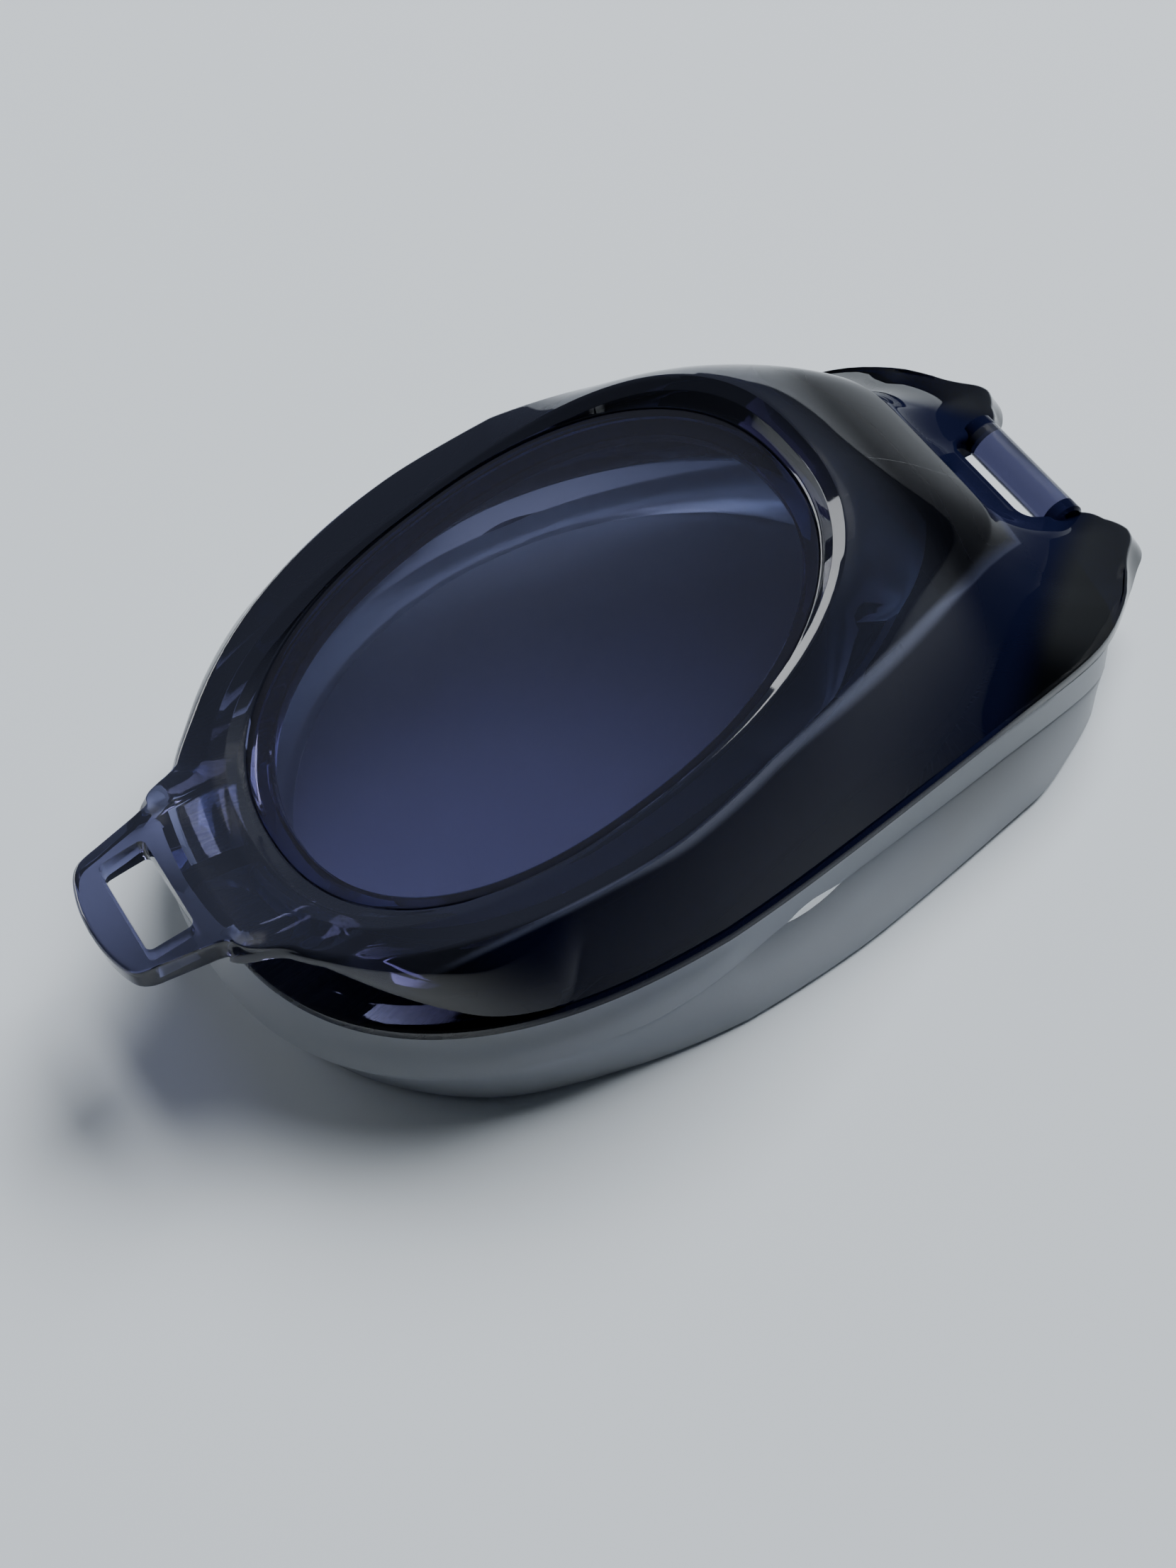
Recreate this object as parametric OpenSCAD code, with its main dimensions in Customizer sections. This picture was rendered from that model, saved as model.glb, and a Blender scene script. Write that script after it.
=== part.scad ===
// One eyepiece of a pair of swim goggles: a tinted frame moulding with a nose
// tab and a strap bar, a flat oval lens let into it, and a soft face gasket.
//
// X runs from nose to temple, Y across, Z up; the eyepiece lies on its gasket
// with the lens on top, and Z = 0 is the plane that it rests on.
// The shells are lofts: each ring is one outline, taken at the same headings
// (0 = temple, 180 = nose), and the rings are joined in the order given.

/* [Lens] */
// Length of the oval lens
lens_length = 42; // [40:0.5:44]
// Width of the oval lens
lens_width = 29.8; // [28:0.2:31]
// Thickness of the lens
lens_thick = 2; // [1.5:0.1:2.2]
// Lean of the lens, temple side up
lens_lean = 15; // [12:1:17]
// Height of the lens centre above the resting plane
lens_height = 18.5; // [17.5:0.5:20]

/* [Frame] */
// Width of the front face across its two side creases
face_width = 37; // [36:0.2:38]
// Distance from the lens centre to the temple edge of the front face
temple_edge = 31.5; // [30.5:0.5:32.5]
// How far the front face stands proud of the lens along the middle
face_crown = 1.43; // [0.8:0.01:1.8]
// Width of the base flange across the eyepiece
flange_width = 41.8; // [41:0.2:43]
// Thickness of the flange edge
flange_thick = 1; // [0.8:0.1:1.4]
// Depth of the flange underside below the lens centre
flange_drop = 10.2; // [9.8:0.1:10.8]

/* [Nose tab] */
// Length of the nose strap slot, across the eyepiece
nose_slot_length = 7.6; // [7:0.1:8]
// Width of the nose strap slot
nose_slot_width = 3.3; // [2.5:0.1:3.6]
// Thickness of the nose tab
tab_thick = 2.2; // [1.8:0.1:2.6]

/* [Strap bar] */
// Diameter of the head strap bar
bar_d = 2.9; // [2.4:0.1:3.1]
// Clear length of the bar between the ears
bar_length = 9; // [8:0.5:10]
// Gap between the body and the bar, for the strap to pass
strap_gap = 2; // [1.5:0.1:2.2]

/* [Gasket] */
// Height of the gasket's upper band
band_height = 3.4; // [2.8:0.1:4]
// Flare of the gasket lip beyond the band along the sides
lip_flare = 3; // [2:0.1:3.2]

/* [Hidden] */

smoke = "#3b4060";
silicone = "#c9d2d8";

headings = 96;                  // points in every ring of a loft
fit = 0.05;                     // clearance round the lens in its seat

// Oval outlines: half length at nose, half length at temple, half width, power
lens_power = 2.26;
lens_oval = [lens_length / 2, lens_length / 2, lens_width / 2, lens_power];
seat_oval = [lens_oval[0] + fit, lens_oval[1] + fit, lens_oval[2] + fit, lens_power];
sight_oval = [lens_oval[0] - 1.3, lens_oval[1] - 1.3, lens_oval[2] - 1.3, lens_power];
crest_oval = [lens_oval[0] + 2, lens_oval[1] + 2, lens_oval[2] + 0.4, 2.5];
face_nose = [26.5, 26.5, face_width / 2, 2];
face_temple = [38.9, 38.9, face_width / 2, 1.6];
roof_oval = [20.8, 28.4, face_width / 2 - 2.3, 2.3];
mouth_oval = [26.2, 26.5, 19.4, 1.85];
rim_oval = [24.4, 26.2, 21.2, 2];
mouth_shift = 6;                // the mouth's centre, towards the temple
base_shift = 2;                 // the flange's centre, towards the temple

// Straight stretches of an outline: [a, b, c] keeps a x + b y under c
base_flank = [0.148, 1, flange_width / 2 + 0.75];
base_edge = [0, 1, flange_width / 2 + 0.5];
ear_side = [0.787, 1, 44];
ear_end = [1, 0, 44.7];
gasket_end = [1, 0, 37.4];
base_corner = 34;               // larger is a tighter corner
gasket_corner = 15;
temple_corner = 24;

// Heights in the lens's own axes
crown_half = crest_oval[2] + 0.3;   // half width over which the crown fades out
fade = 1.2;                     // how softly it does
fall_from = 8;                  // the crease falls away beyond this x
fall = [0.2, 0.0098];           // slope and curve of that fall
nose_rise = 1;                  // the crease stands this high at the nose
wing_from = 20;                 // beyond this x the wing curves up to the tab
wing_curve = 0.055;
bulge = 0.44;                   // roundness of the face from crest to crease
shell = 2.1;                    // thickness of the front shell
ledge = 1.1;                    // thickness of the ledge under the lens

neck_x = 26.4;                  // the wing ends here, at the tab
neck_half = 6.1;
neck_turn = [20, 7];            // headings over which the crease runs into the neck
wing_thick = 0.9;
skirt_from = 121;               // from this heading the wall's edge leaves the flange
skirt_turn = 36;                // and reaches the wing after this many degrees
skirt_lean = 0.45;
wing_drop = 5.2;                // depth of the wing's underside

temple_dip = [26, 2.8, 20.6];   // the flange dips beyond x, by this, over this
ear_rise = 1.5;                 // extra thickness of the ear tips
ear_draft = 1;                  // lean of their end faces
ear_tip = [[1.5, 0.3], [3, 1.1], [4.1, 2.2], [5, 4], [18, 30]];  // rounding, from the bar
bar_x = 41.6;
bar_drop = 10.3;
slot_x = bar_x - bar_d / 2 - strap_gap + 0.3;
ear_reach = 46.1;
tab_reach = 33.6;
rest_shift = (ear_reach - tab_reach) / 2;

function turn(i) = 360 * i / headings;
function mix(a, b, t) = a + (b - a) * t;
function clamp01(t) = max(0, min(1, t));
function ease(t) = let (u = clamp01(t)) u * u * (3 - 2 * u);
function bend(a, b, c, t) = mix(mix(a, b, t), mix(b, c, t), t);
function polar(r, h, shift = 0) = [shift + r * cos(h), r * sin(h)];
function raise(p, z) = [p.x, p.y, z];

// Angle from the temple, whichever side of it the heading is
function off_temple(h) = h > 180 ? 360 - h : h;

// Radius of an oval at a heading
function oval(h, o) =
    let (reach = cos(h) < 0 ? o[0] : o[1])
    pow(pow(abs(cos(h)) / reach, o[3]) + pow(abs(sin(h)) / o[2], o[3]), -1 / o[3]);

// Radius of a rounded outline that keeps inside every stretch given
function within(h, stretches, corner) =
    pow([for (s = stretches) pow(max(0, (s[0] * cos(h) + s[1] * abs(sin(h))) / s[2]), corner)]
        * [for (s = stretches) 1], -1 / corner);

// From the lens's own axes, with the lens face at z = 0, to upright ones
function lean(p) = [
    p.x * cos(lens_lean) - p.z * sin(lens_lean),
    p.y,
    p.x * sin(lens_lean) + p.z * cos(lens_lean)
];

// Height of the crest round the lens, and of the crease outside it
function crest_z(y) = face_crown * pow(max(0, 1 - pow(y / crown_half, 2)), fade);
function crease_z(x) =
    let (past = max(0, x - fall_from), wing = max(0, -x - wing_from))
    nose_rise * ease((fall_from - x) / 24) - fall[0] * past - fall[1] * past * past
        + wing_curve * wing * wing;

// Depth of the flange underside, which dips under the ears
function dip(x) = pow(clamp01((x - temple_dip[0]) / temple_dip[2]), 2);
function base_z(x) = -flange_drop - temple_dip[1] * dip(x);

// How much a heading belongs to the nose or to the temple
function nose(h) = ease((off_temple(h) - skirt_from) / 8 + 1);
function temple(h) = ease((cos(h) - 0.45) / 0.45);

// Outline of the front face: an oval, cut straight at the temple and drawn out
// into the wing at the nose
function face_r(h) = cos(h) > 0
    ? pow(pow(oval(h, face_temple), -temple_corner)
        + pow(temple_edge / cos(h), -temple_corner), -1 / temple_corner)
    : mix(oval(h, face_nose), neck_x / max(0.5, -cos(h)),
        ease((neck_turn[0] - abs(180 - h)) / neck_turn[1]));

function nose_end(h, half) = oval(h, [28, 28, half, 2.4]);
function base_r(h) =
    let (stretches = [base_edge, base_flank, ear_side, ear_end])
    cos(h) > 0 ? within(h, stretches, base_corner)
        : nose_end(h, within(90, stretches, base_corner));
function gasket_r(h) =
    let (stretches = [base_edge, base_flank, gasket_end])
    cos(h) > 0 ? within(h, stretches, gasket_corner)
        : nose_end(h, within(90, stretches, gasket_corner));

function mouth(h, out = 0) = polar(oval(h, mouth_oval) + out, h, mouth_shift);
function base(h, in = 0) = polar(base_r(h) - in, h, base_shift);
function band(h, out = 0) = polar(gasket_r(h) + out, h, base_shift);

// The front face, from the crest (t = 0) to the crease (t = 1), a drop below it
function face(h, t, drop = 0) =
    let (
        crest = polar(oval(h, crest_oval), h),
        crease = polar(face_r(h), h),
        a = raise(crest, crest_z(crest.y)),
        b = raise(crease, crease_z(crease.x))
    )
    lean(mix(a, b, t) + [0, 0, bulge * (a.z - b.z) * t * (1 - t) - drop]);

// Top of the flange edge, which thickens and leans in at the ears
function edge_top(h, in = 0) =
    let (p = base(h), q = base(h, in + ear_draft * dip(p.x)))
    raise(q, base_z(p.x) + flange_thick + ear_rise * dip(p.x));

// Rings of the side wall, from under the crease down to the flange
wall_rings = 7;
function wall_side(h, k) =
    let (
        crease = face(h, 1),
        foot = edge_top(h, 0.35),
        sag = mix(-1.1, 3.8, temple(h)),
        knee = mix(crease, foot, mix(0.42, 0.36, temple(h))) - [0, 0, sag]
    )
    bend(crease, knee, foot, k / wall_rings);

// At the nose the wall stops short as a skirt, and behind it the cup's own wall
// stands in the open between the wing and the flange
function wall_nose(h, k) =
    let (
        crease = face(h, 1),
        foot_z = flange_thick - flange_drop,
        foot = edge_top(h, 0.35),
        part = clamp01((off_temple(h) - skirt_from) / skirt_turn),
        z = min(mix(foot_z + 0.15, -wing_drop, part), crease.z - wing_thick),
        skirt = [crease.x, crease.y] + (crease.z - z) * skirt_lean * polar(1, h),
        into = ease(3 * part),
        root_top = mix([foot.x, foot.y], mouth(h, 1.7), into),
        root_foot = mix([foot.x, foot.y], mouth(h, 1.9), into)
    )
    k <= 4 ? mix(crease, raise(mix([foot.x, foot.y], skirt, into), z), k / 4)
    : k == 5 ? raise(root_top, mix(z, foot_z, 0.3))
    : k == 6 ? raise(root_foot, foot_z)
    : mix(raise(root_foot, foot_z), edge_top(h), 0.5);
function wall(h, k) = mix(wall_side(h, k), wall_nose(h, k), nose(h));

// One section of the frame shell at a heading, from the lens seam outwards,
// down the wall, round the flange and back up inside
function frame_section(h) =
    let (
        seat = polar(oval(h, seat_oval), h),
        sight = polar(oval(h, sight_oval), h),
        crest_r = oval(h, crest_oval),
        roof_r = oval(h, roof_oval),
        roof_t = clamp01((roof_r - crest_r) / (face_r(h) - crest_r)),
        ceiling = lean([roof_r * cos(h), roof_r * sin(h), -lens_thick - ledge - 0.3]),
        under = face(h, roof_t, shell + temple(h)),
        roof_in = under.z < ceiling.z && cos(h) > 0 ? under : ceiling,
        edge = base(h),
        pad = band(h),
        open = mouth(h),
        mouth_low = raise(open, base_z(open.x))
    )
    concat(
        [lean(raise(seat, -lens_thick)), lean(raise(seat, 0))],
        [for (t = [0, 0.2, 0.4, 0.6, 0.8, 1]) face(h, t)],
        [for (k = [1 : wall_rings]) wall(h, k)],
        [edge_top(h), raise(edge, base_z(edge.x))],
        [raise(mix(edge, pad, 1.02), base_z(pad.x)), mouth_low],
        [for (t = [0.35, 0.7]) bend(mouth_low, mix(mouth_low, roof_in, 0.6) + [0, 0, 0.6], roof_in, t)],
        [roof_in],
        [lean(raise(mix(sight, polar(roof_r, h), 0.45), -lens_thick - ledge - 0.4))],
        [lean(raise(sight, -lens_thick - ledge)), lean(raise(sight, -lens_thick))]
    );

// How far the gasket's lip stands out beyond the flange at a heading
function lip(h) =
    let (c = cos(h))
    mix(mix(-1.2, 0.35, ease((c + 1) / 0.4)) + (lip_flare - 0.35) * ease((c + 0.7) / 1.2),
        -1.6, ease((c - 0.8) / 0.18));

// One section of the gasket: up the band's outside is the first pair
function gasket_section(h) =
    let (
        flare = mix(1.3, 0, ease((cos(h) + 0.35) / 0.7)),
        top = band(h),
        low = band(h, flare),
        brim = band(h, flare * 0.5 + lip(h)),
        open = mouth(h),
        rim = polar(oval(h, rim_oval), h, mouth_shift),
        ztop = base_z(top.x),
        zlow = ztop - band_height
    )
    [
        raise(top, ztop),
        raise(mix(top, low, 0.8), mix(ztop, zlow, 0.5)),
        raise(low, zlow),
        raise(mix(low, brim, 0.12), zlow - 0.35),
        raise(mix(low, brim, 0.55), mix(zlow, -lens_height, 0.45)),
        raise(mix(low, brim, 0.92), mix(zlow, -lens_height, 0.82)),
        raise(brim, -lens_height + 0.35),
        raise(mix(brim, rim, 0.12), -lens_height),
        raise(mix(brim, rim, 0.4), -lens_height + 0.5),
        raise(mix(brim, rim, 0.8), -lens_height),
        raise(rim, -lens_height + 0.3),
        raise(mix(rim, open, 0.35), mix(-lens_height, ztop, 0.4)),
        raise(open, base_z(open.x))
    ];

// A closed ring of sections, joined into one solid
module ring_loft(sections) {
    n = len(sections);
    m = len(sections[0]);
    polyhedron(
        points = [for (s = sections) for (p = s) p],
        faces = [
            for (i = [0 : n - 1]) for (j = [0 : m - 1])
                let (
                    a = i * m + j, b = i * m + (j + 1) % m,
                    c = ((i + 1) % n) * m + (j + 1) % m, d = ((i + 1) % n) * m + j
                )
                each [[a, c, b], [a, d, c]]
        ],
        convexity = 8
    );
}

// Moves lens-centred geometry to the resting plane
module placed() {
    translate([-rest_shift, 0, lens_height]) children();
}

module tab_outline() {
    curve = 12.5;
    end_x = -tab_reach + curve;
    sweep = asin(4.9 / curve);
    polygon(concat(
        [[-24.6, -neck_half], [-neck_x, -neck_half]],
        [for (k = [-6 : 6]) [end_x - curve * cos(k * sweep / 6), curve * sin(k * sweep / 6)]],
        [[-neck_x, neck_half], [-24.6, neck_half]]
    ));
}

module nose_tab() {
    difference() {
        translate([-neck_x, 0, -3.65])
            rotate([0, -5, 0])
                translate([neck_x, 0, -tab_thick])
                    linear_extrude(tab_thick)
                        tab_outline();
        translate([-29.35, 0, -5])
            cube([nose_slot_width, nose_slot_length, 12], center = true);
    }
    // Gusset on the centreline, from the tab to the wall under the wing
    rotate([90, 0, 0])
        linear_extrude(1.6, center = true)
            polygon([[-27.2, -4.6], [-20.6, -5], [-20.6, -9.4], [-21.8, -9.4], [-26.6, -5.8]]);
}

module strap_notch() {
    half = bar_length / 2;
    corner = 1.2;
    translate([0, 0, -20])
        linear_extrude(30)
            polygon(concat(
                [for (a = [270 : -15 : 180])
                    [slot_x + corner + corner * cos(a), -half + corner + corner * sin(a)]],
                [for (a = [180 : -15 : 90])
                    [slot_x + corner + corner * cos(a), half - corner + corner * sin(a)]],
                [for (p = ear_tip) [bar_x + p.x, half + p.y]],
                [for (i = [len(ear_tip) - 1 : -1 : 0])
                    [bar_x + ear_tip[i].x, -half - ear_tip[i].y]]
            ));
}

module frame() {
    color(smoke, 0.85)
        placed() {
            difference() {
                ring_loft([for (i = [0 : headings - 1]) frame_section(turn(i))]);
                strap_notch();
            }
            nose_tab();
            translate([bar_x, 0, -bar_drop])
                rotate([90, 0, 0])
                    cylinder(d = bar_d, h = bar_length + 3, center = true, $fn = 48);
        }
}

module lens() {
    color(smoke, 0.5)
        placed()
            rotate([0, -lens_lean, 0])
                translate([0, 0, -lens_thick])
                    linear_extrude(lens_thick)
                        polygon([for (i = [0 : headings - 1]) polar(oval(turn(i), lens_oval), turn(i))]);
}

module gasket() {
    color(silicone, 0.8)
        placed()
            ring_loft([for (i = [0 : headings - 1]) gasket_section(turn(i))]);
}

frame();
lens();
gasket();
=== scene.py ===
"""The look of one swim goggle eyepiece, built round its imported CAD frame.

Shapes are worked out in millimetres about the centre of the lens face, with X from
nose to temple, Y across and Z up, and are put into the frame's metres when each mesh
is made. Headings are in degrees: 0 is the temple, 180 the nose. The eyepiece is the
same on both sides of its long centreline.
"""

import math

import bmesh
import bpy
import numpy as np
from mathutils import Matrix, Vector


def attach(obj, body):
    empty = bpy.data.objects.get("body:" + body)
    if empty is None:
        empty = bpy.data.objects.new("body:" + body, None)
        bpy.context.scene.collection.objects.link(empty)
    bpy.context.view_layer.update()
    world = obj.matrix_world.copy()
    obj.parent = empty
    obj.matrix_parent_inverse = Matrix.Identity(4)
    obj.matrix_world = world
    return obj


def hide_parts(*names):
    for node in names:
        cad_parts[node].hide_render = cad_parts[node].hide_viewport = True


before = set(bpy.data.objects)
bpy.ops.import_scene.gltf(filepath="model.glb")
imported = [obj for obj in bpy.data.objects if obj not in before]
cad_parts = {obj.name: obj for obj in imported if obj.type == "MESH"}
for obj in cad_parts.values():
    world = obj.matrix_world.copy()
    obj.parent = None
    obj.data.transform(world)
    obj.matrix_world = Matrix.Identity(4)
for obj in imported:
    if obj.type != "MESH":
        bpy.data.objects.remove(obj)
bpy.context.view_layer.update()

MM = 0.001
NEVER_REACHED = 1e-300          # keeps a power of zero finite
LENS_LEAN = 15.0
LENS_THICK = 2.0
LENS_HEIGHT = 18.5
REST_SHIFT = 6.25               # from the lens centre to the middle of the footprint

# Ovals: half length at the nose, half length at the temple, half width, power
LENS = (21.0, 21.0, 14.9, 2.26)
SEAT_GAP = 0.05
SIGHT = (19.7, 19.7, 13.6, 2.26)
CREST = (23.0, 23.0, 15.3, 2.5)
FACE_NOSE = (26.5, 26.5, 18.5, 2.0)
FACE_TEMPLE = (38.9, 38.9, 18.5, 1.6)
CREST_RISE = 1.43
BEZEL_WIDE, BEZEL_SLOPE = 1.0, 0.5  # the bright bezel just inside the crest
FACE_CUT = 31.5                 # how far the front face runs toward the temple
ROOF = (20.8, 28.4, 16.2, 2.3)
MOUTH = (26.2, 26.5, 19.4, 1.85)
LIP_INNER = (24.4, 26.2, 21.2, 2.0)
MOUTH_SHIFT = 6.0
BASE_SHIFT = 2.0

# Straight stretches (a, b, c) keep a x + b |y| under c
BASE_FLANK = (0.148, 1.0, 21.65)
BASE_EDGE = (0.0, 1.0, 21.4)
EAR_SIDE = (0.787, 1.0, 44.0)
EAR_END = (1.0, 0.0, 44.7)
GASKET_END = (1.0, 0.0, 37.4)

FLANGE_THICK = 1.0
FLANGE_DROP = 10.2
FOOT_Z = FLANGE_THICK - FLANGE_DROP
WING_DROP = 5.2
WING_THICK = 0.9
SKIRT_FROM, SKIRT_TURN, SKIRT_LEAN = 121.0, 36.0, 0.45
NECK_X = 26.4
TAB_THICK = 2.2
TAB_TILT = math.tan(math.radians(5))
TAB_TOP = -3.65                 # height of the tab's top face at the neck
TAB_ROUND = 0.4                 # radius of the tab's edges
BAR_X, BAR_DROP, BAR_R = 41.6, 10.3, 1.45
BAR_HALF = 4.5                  # half the bar's clear length between the ears
SLOT_X = 38.45                  # inner edge of the strap gap
NOTCH_CORNER = 1.3
BAND_HEIGHT = 3.4

# The front face's heights, in the lens's own axes
CREST_HALF, CREST_POWER, CREST_FADE = 15.6, 4, 0.6  # half width over which the crest fades out
FALL_FROM, FALL_SLOPE, FALL_CURVE = 8, 0.2, 0.0098  # the crease falls away beyond this x
NOSE_RISE_OVER = 24             # and comes up to its height at the nose over this
WING_FROM, WING_CURVE = 20, 0.055
BULGE = 0.44                    # roundness of the face from crest to crease

TEMPLE_CORNER, BASE_CORNER, BAND_CORNER = 24, 34, 15    # larger is a tighter corner
NECK_TURN, NECK_BLEND = 20, 7   # headings over which the crease runs into the neck
NOSE_LENGTH, NOSE_POWER = 28, 2.4
DIP_FROM, DIP_OVER, DIP_DEPTH = 26, 20.6, 2.8   # the flange dips under the ears
EAR_RISE = 1.5                  # extra thickness of the ear tips
LEDGE = 0.35                    # width of the flange outside the side wall

# The bend of the side wall: its share of the way down, and how far it hangs
KNEE_SIDE, KNEE_TEMPLE = (0.42, -1.1), (0.36, 3.8)
KNEE_END = (-0.09, 2.2)         # added beside the strap notch


# ---------------------------------------------------------------- small maths

def cosd(h):
    return np.cos(np.radians(h))


def sind(h):
    return np.sin(np.radians(h))


def mix(a, b, t):
    t = np.asarray(t, float)
    if np.ndim(a) == 2 and t.ndim == 1:
        t = t[:, None]
    return a + (b - a) * t


def ease(t):
    u = np.clip(t, 0, 1)
    return u * u * (3 - 2 * u)


def bend(a, b, c, t):
    return mix(mix(a, b, t), mix(b, c, t), t)


def polar(r, h, shift=0.0):
    return np.stack([shift + r * cosd(h), r * sind(h)], 1)


def raise_to(plan, z):
    return np.column_stack([plan, np.broadcast_to(z, len(plan))])


def off_temple(h):
    return np.where(h > 180, 360 - h, h)


def smooth_path(points, steps):
    """A curve through every point, with the given number of steps in each stretch."""
    p = np.asarray(points, float)
    p = np.vstack([2 * p[0] - p[1], p, 2 * p[-1] - p[-2]])
    out = []
    for a, b, c, d in zip(p, p[1:], p[2:], p[3:]):
        for t in np.arange(steps) / steps:
            out.append(0.5 * (2 * b + (c - a) * t + (2 * a - 5 * b + 4 * c - d) * t ** 2
                              + (3 * b - a - 3 * c + d) * t ** 3))
    return np.array(out + [p[-2]])


# ------------------------------------------------------- outlines and heights

def oval(h, o, grow=0.0):
    reach = np.where(cosd(h) < 0, o[0] + grow, o[1] + grow)
    return ((np.abs(cosd(h)) / reach) ** o[3]
            + (np.abs(sind(h)) / (o[2] + grow)) ** o[3]) ** (-1 / o[3])


def within(h, stretches, corner):
    """A rounded outline that keeps inside every stretch; meant for the temple half."""
    total = sum(np.maximum(0, (a * cosd(h) + b * np.abs(sind(h))) / c) ** corner
                for a, b, c in stretches)
    return np.maximum(total, NEVER_REACHED) ** (-1 / corner)


def ended(h, stretches, corner):
    """The stretches on the temple half, closed by a rounder oval at the nose."""
    half = float(within(np.array([90.0]), stretches, corner)[0])
    return np.where(cosd(h) > 0, within(h, stretches, corner),
                    oval(h, (NOSE_LENGTH, NOSE_LENGTH, half, NOSE_POWER)))


def base_r(h):
    return ended(h, (BASE_EDGE, BASE_FLANK, EAR_SIDE, EAR_END), BASE_CORNER)


def band_r(h):
    return ended(h, (BASE_EDGE, BASE_FLANK, GASKET_END), BAND_CORNER)


def face_r(h):
    c = cosd(h)
    cut = FACE_CUT / np.maximum(c, 0.01)
    temple_side = (oval(h, FACE_TEMPLE) ** -TEMPLE_CORNER + cut ** -TEMPLE_CORNER) ** (-1 / TEMPLE_CORNER)
    nose_side = mix(oval(h, FACE_NOSE), NECK_X / np.maximum(0.5, -c),
                    ease((NECK_TURN - np.abs(180 - h)) / NECK_BLEND))
    return np.where(c > 0, temple_side, nose_side)


def crest_z(y):
    return CREST_RISE * np.maximum(0, 1 - (y / CREST_HALF) ** CREST_POWER) ** CREST_FADE


def crease_z(x):
    past, wing = np.maximum(0, x - FALL_FROM), np.maximum(0, -x - WING_FROM)
    return (ease((FALL_FROM - x) / NOSE_RISE_OVER) - FALL_SLOPE * past
            - FALL_CURVE * past ** 2 + WING_CURVE * wing ** 2)


def dip(x):
    return np.clip((x - DIP_FROM) / DIP_OVER, 0, 1) ** 2


def base_z(x):
    return -FLANGE_DROP - DIP_DEPTH * dip(x)


def nose(h):
    return ease((off_temple(h) - SKIRT_FROM) / 8 + 1)


def temple(h):
    return ease((cosd(h) - 0.45) / 0.45)


def lean(p):
    """From the lens's own axes to upright ones."""
    c, s = math.cos(math.radians(LENS_LEAN)), math.sin(math.radians(LENS_LEAN))
    return np.column_stack([p[:, 0] * c - p[:, 2] * s, p[:, 1], p[:, 0] * s + p[:, 2] * c])


def face(h, t, drop=0.0):
    """The front face from the crest round the lens (0) to the crease outside it (1)."""
    a, b = polar(oval(h, CREST), h), polar(face_r(h), h)
    za, zb = crest_z(a[:, 1]), crease_z(b[:, 0])
    t = np.broadcast_to(t, h.shape)
    z = mix(za, zb, t) + BULGE * (za - zb) * t * (1 - t) - drop
    return lean(raise_to(mix(a, b, t), z))


def mouth(h, out=0.0):
    return polar(oval(h, MOUTH) + out, h, MOUTH_SHIFT)


# --------------------------------------------------------------- the outline

def half_outline():
    """The frame's outermost line from the strap gap round to the nose, y >= 0."""
    turn_y = BAR_HALF - NOTCH_CORNER
    gap = [(SLOT_X, y) for y in np.linspace(0, turn_y - 0.1, 7)]
    fillet = [(SLOT_X + NOTCH_CORNER * (1 - cosd(a)), turn_y + NOTCH_CORNER * sind(a))
              for a in range(0, 91, 9)]
    ear = smooth_path([(SLOT_X + 1.6, 4.56), (41.5, 4.82), (43.1, 5.15), (44.5, 5.85),
                       (45.5, 6.95), (46.0, 8.1), (45.85, 9.1), (45.25, 9.95),
                       (44.0, 10.9), (42.5, 12.13)], 5)
    turns = np.concatenate([np.arange(17.6, 150, 1.3), np.arange(150, 164, 1.0),
                            np.arange(164, 180, 0.4)])
    rest = polar(base_r(turns), turns, BASE_SHIFT)
    return np.vstack([gap, fillet, ear, rest])


def whole_outline():
    half = half_outline()
    end = polar(base_r(np.array([180.0])), np.array([180.0]), BASE_SHIFT)
    mirrored = half[:0:-1] * (1, -1)
    return np.vstack([half, end, mirrored])


EDGE = whole_outline()
H = np.degrees(np.arctan2(EDGE[:, 1], EDGE[:, 0] - BASE_SHIFT)) % 360
step = np.roll(EDGE, -1, 0) - np.roll(EDGE, 1, 0)
NORMAL = np.column_stack([step[:, 1], -step[:, 0]]) / np.linalg.norm(step, axis=1)[:, None]
OFF = off_temple(H)
EAR = ease((17.5 - OFF) / 4)                       # 1 where there is no flange ledge
TIP = ease((OFF - 6.9) / 1.2) * ease((20 - OFF) / 5)   # 1 round the ear tips
EDGE_TOP = EDGE - NORMAL * (dip(EDGE[:, 0]) * TIP)[:, None]


def knee_at(h):
    """Where along the side wall its curve bends, and how far the bend hangs down."""
    end = ease((12 - off_temple(h)) / 6)
    share, hang = [mix(KNEE_SIDE[i], KNEE_TEMPLE[i], temple(h)) + KNEE_END[i] * end for i in (0, 1)]
    return share, hang


def wall_ends(h):
    """Start, middle and foot of the side wall's curve at a heading."""
    full = polar(base_r(h), h, BASE_SHIFT)
    sunk = dip(full[:, 0])
    inner = polar(base_r(h) - LEDGE - sunk, h, BASE_SHIFT)
    foot = raise_to(inner, base_z(full[:, 0]) + FLANGE_THICK + EAR_RISE * sunk)
    start = face(h, 1.0)
    share, hang = knee_at(h)
    knee = mix(start, foot, share)
    knee[:, 2] -= hang
    return start, knee, foot


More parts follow.
